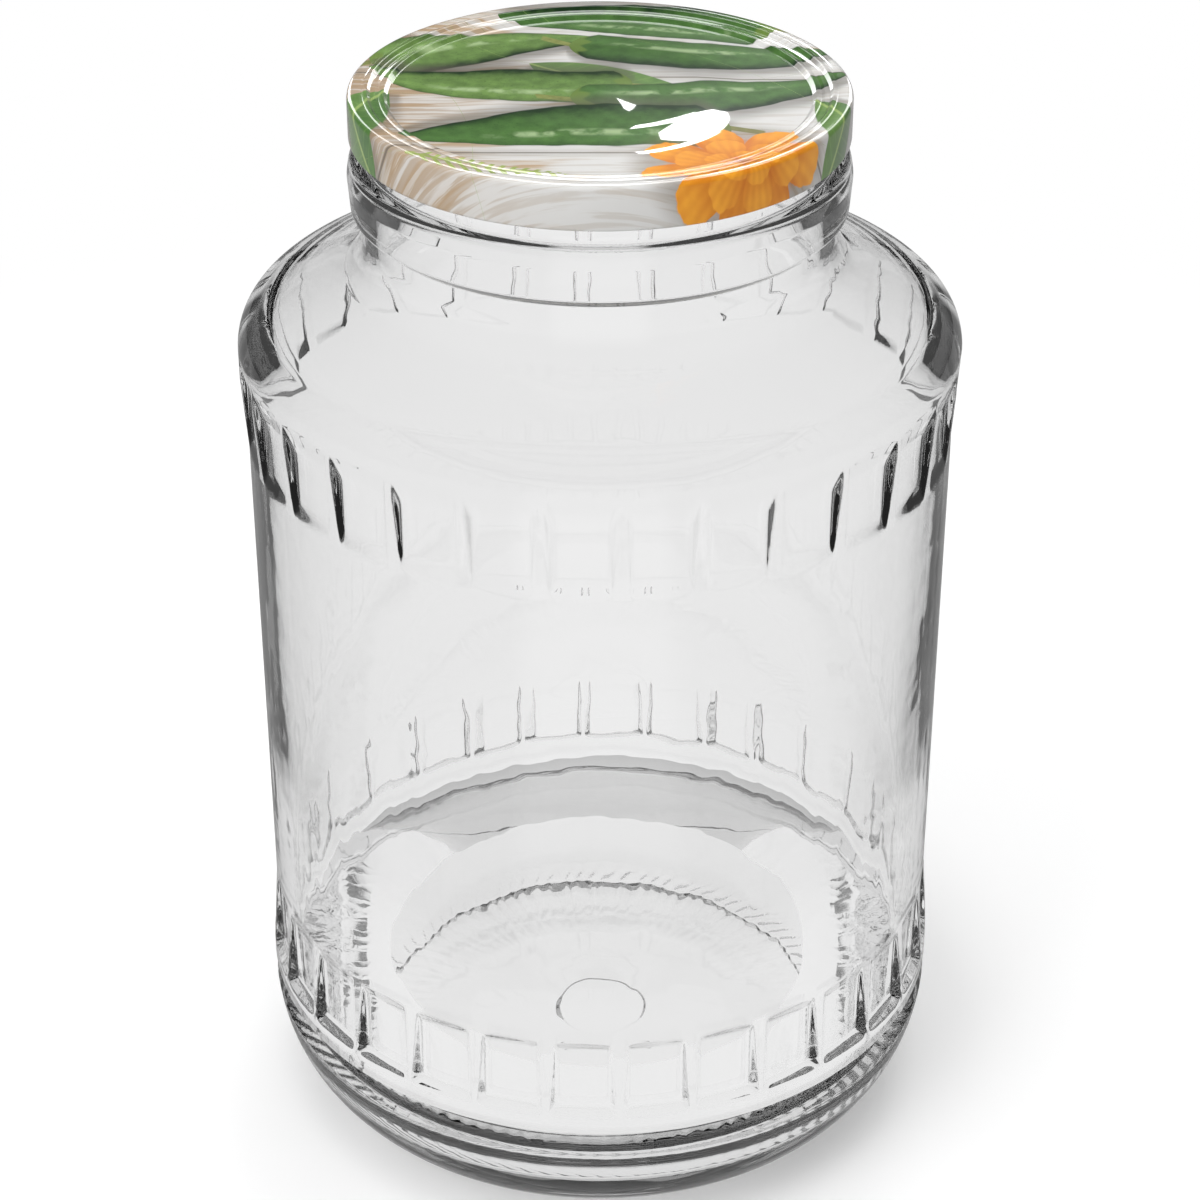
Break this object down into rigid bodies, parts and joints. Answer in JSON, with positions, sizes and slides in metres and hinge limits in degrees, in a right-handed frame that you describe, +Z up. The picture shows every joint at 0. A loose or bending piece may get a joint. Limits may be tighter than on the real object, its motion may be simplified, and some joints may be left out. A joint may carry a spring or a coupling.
{
  "type": "glass pickle jar with twist-off lid",
  "caption": "Tall wide-mouth clear glass preserving jar with two bands of flat panels between upright ribs, and a printed twist-off steel lid.",
  "frame": {"origin": "centre of the base, on the surface that the jar stands on", "axes": "+Z up along the jar's axis to the lid, -Y towards the front view"},
  "size_m": [0.1536, 0.1536, 0.2413],
  "materials": {
    "clear_glass": "clear colourless moulded soda-lime glass",
    "printed_lid": "tinplate, glossy lacquered print of green gherkins on pale wood",
    "sealing_compound": "soft cream-white sealing compound"
  },
  "bodies": {
    "root": {"glass_jar": "clear_glass", "twist_lid": "printed_lid", "sealing_ring": "sealing_compound"}
  },
  "joints": []
}
